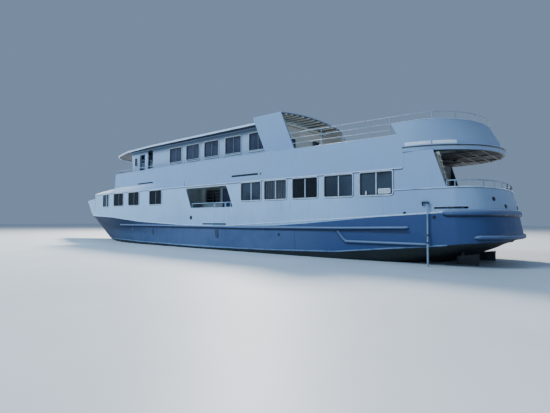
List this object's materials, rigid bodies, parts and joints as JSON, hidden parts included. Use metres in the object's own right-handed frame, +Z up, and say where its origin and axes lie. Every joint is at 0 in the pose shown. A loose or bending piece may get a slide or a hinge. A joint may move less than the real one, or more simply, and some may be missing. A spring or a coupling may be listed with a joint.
{
  "type": "excursion motor yacht",
  "caption": "Steel motor yacht for passengers: long blue and white hull, two glazed decks, raked wheelhouse, open after decks with rails, side boarding bays.",
  "frame": {"origin": "on the waterline, amidships, on the centreline", "axes": "+X to the bow, +Y to port, +Z up"},
  "size_m": [37.61, 6.0581, 8.85],
  "materials": {
    "hull_white": "weathered semi-gloss paint",
    "hull_blue": "weathered semi-gloss paint",
    "bottom_paint": "matt bottom paint with growth at the water",
    "deck_grey": "matt deck paint",
    "rail_paint": "semi-gloss paint on pipe",
    "window_glass": "tinted",
    "fender_blue": "scuffed paint on steel rail",
    "bronze": "dull bronze",
    "dark_steel": "dark paint with rust",
    "door_navy": "semi-gloss paint"
  },
  "bodies": {
    "hull": {"hull_topsides": "hull_blue", "hull_bottom": "bottom_paint", "bow_bulwark": "hull_white", "stern_bulwark": "hull_white", "main_side_aft_port": "hull_white", "main_side_aft_stbd": "hull_white", "main_side_fore_port": "hull_white", "main_side_fore_stbd": "hull_white", "main_fore_end": "hull_white", "main_aft_bulkhead": "hull_white", "bay_recess_port": "hull_white", "bay_recess_stbd": "hull_white", "upper_deck": "deck_grey", "fore_house_top": "hull_white", "upper_bulwark_port": "hull_white", "upper_bulwark_stbd": "hull_white", "upper_bulwark_front": "hull_white", "upper_stern_bulwark": "hull_white", "wing_port": "hull_white", "wing_stbd": "hull_white", "canopy": "hull_white", "deckhouse_side_port": "hull_white", "deckhouse_side_stbd": "hull_white", "wheelhouse_front": "hull_white", "deckhouse_aft": "hull_white", "roof": "hull_white", "main_glazing_aft_port": "window_glass", "main_glazing_aft_stbd": "window_glass", "main_glazing_fore_port": "window_glass", "main_glazing_fore_stbd": "window_glass", "upper_glazing_port": "window_glass", "upper_glazing_stbd": "window_glass", "upper_rail": "rail_paint", "fore_rail": "rail_paint", "stern_rail": "rail_paint", "rub_rail_port": "fender_blue", "rub_rail_stbd": "fender_blue", "stern_fender_upper": "fender_blue", "stern_fender_lower": "fender_blue", "shaft_port": "dark_steel", "shaft_stbd": "dark_steel", "engines": "dark_steel", "helm_console": "dark_steel", "ladder": "rail_paint", "overboard_pipe": "dark_steel"},
    "propeller_port": {"propeller_port": "bronze"},
    "propeller_stbd": {"propeller_stbd": "bronze"},
    "rudder_port": {"rudder_port": "bottom_paint"},
    "rudder_stbd": {"rudder_stbd": "bottom_paint"},
    "gate_port": {"gate_port": "hull_white"},
    "gate_stbd": {"gate_stbd": "hull_white"},
    "bay_door_port": {"bay_door_port": "door_navy"},
    "bay_door_stbd": {"bay_door_stbd": "door_navy"},
    "wheelhouse_door_port": {"wheelhouse_door_port": "hull_white"},
    "wheelhouse_door_stbd": {"wheelhouse_door_stbd": "hull_white"},
    "upper_aft_door": {"upper_aft_door": "hull_white"},
    "main_aft_door": {"main_aft_door": "hull_white"},
    "engine_hatch": {"engine_hatch": "deck_grey"},
    "fore_hatch": {"fore_hatch": "hull_white"}
  },
  "joints": [
    {"name": "propeller_port_spin", "type": "hinge", "parent": "hull", "child": "propeller_port", "pos_m": [-16.1, 1.3, -0.45], "axis": [1, 0, 0], "continuous": true},
    {"name": "propeller_stbd_spin", "type": "hinge", "parent": "hull", "child": "propeller_stbd", "pos_m": [-16.1, -1.3, -0.45], "axis": [-1, 0, 0], "continuous": true},
    {"name": "rudder_port_turn", "type": "hinge", "parent": "hull", "child": "rudder_port", "pos_m": [-16.95, 1.3, -0.3], "axis": [0, 0, 1], "range_deg": [-35, 35]},
    {"name": "rudder_stbd_turn", "type": "hinge", "parent": "hull", "child": "rudder_stbd", "pos_m": [-16.95, -1.3, -0.3], "axis": [0, 0, 1], "range_deg": [-35, 35]},
    {"name": "gate_port_swing", "type": "hinge", "parent": "hull", "child": "gate_port", "pos_m": [-4.766, 2.8257, 2], "axis": [0, 0, -1], "range_deg": [0, 90]},
    {"name": "gate_stbd_swing", "type": "hinge", "parent": "hull", "child": "gate_stbd", "pos_m": [-4.766, -2.8257, 2], "axis": [0, 0, 1], "range_deg": [0, 90]},
    {"name": "bay_door_port_swing", "type": "hinge", "parent": "hull", "child": "bay_door_port", "pos_m": [-4.148, 1.7257, 2.8], "axis": [0, 0, -1], "range_deg": [0, 90]},
    {"name": "bay_door_stbd_swing", "type": "hinge", "parent": "hull", "child": "bay_door_stbd", "pos_m": [-4.148, -1.7257, 2.8], "axis": [0, 0, 1], "range_deg": [0, 90]},
    {"name": "wheelhouse_door_port_slide", "type": "slide", "parent": "hull", "child": "wheelhouse_door_port", "axis": [-1, 0, 0], "range_m": [0, 0.64]},
    {"name": "wheelhouse_door_stbd_slide", "type": "slide", "parent": "hull", "child": "wheelhouse_door_stbd", "axis": [-1, 0, 0], "range_m": [0, 0.64]},
    {"name": "upper_aft_door_swing", "type": "hinge", "parent": "hull", "child": "upper_aft_door", "pos_m": [-7.9143, 1.088, 5.5], "axis": [0, 0, -1], "range_deg": [0, 100]},
    {"name": "main_aft_door_swing", "type": "hinge", "parent": "hull", "child": "main_aft_door", "pos_m": [-15.2743, 0.448, 2.95], "axis": [0, 0, -1], "range_deg": [0, 100]},
    {"name": "engine_hatch_lift", "type": "hinge", "parent": "hull", "child": "engine_hatch", "pos_m": [-8.66, 0, 2], "axis": [0, 1, 0], "range_deg": [0, 85]},
    {"name": "fore_hatch_lift", "type": "hinge", "parent": "hull", "child": "fore_hatch", "pos_m": [14.74, 0, 2.5], "axis": [0, 1, 0], "range_deg": [0, 100]}
  ],
  "couplings": [
    {"joint": "rudder_stbd_turn", "follows": "rudder_port_turn", "ratio": 1}
  ]
}
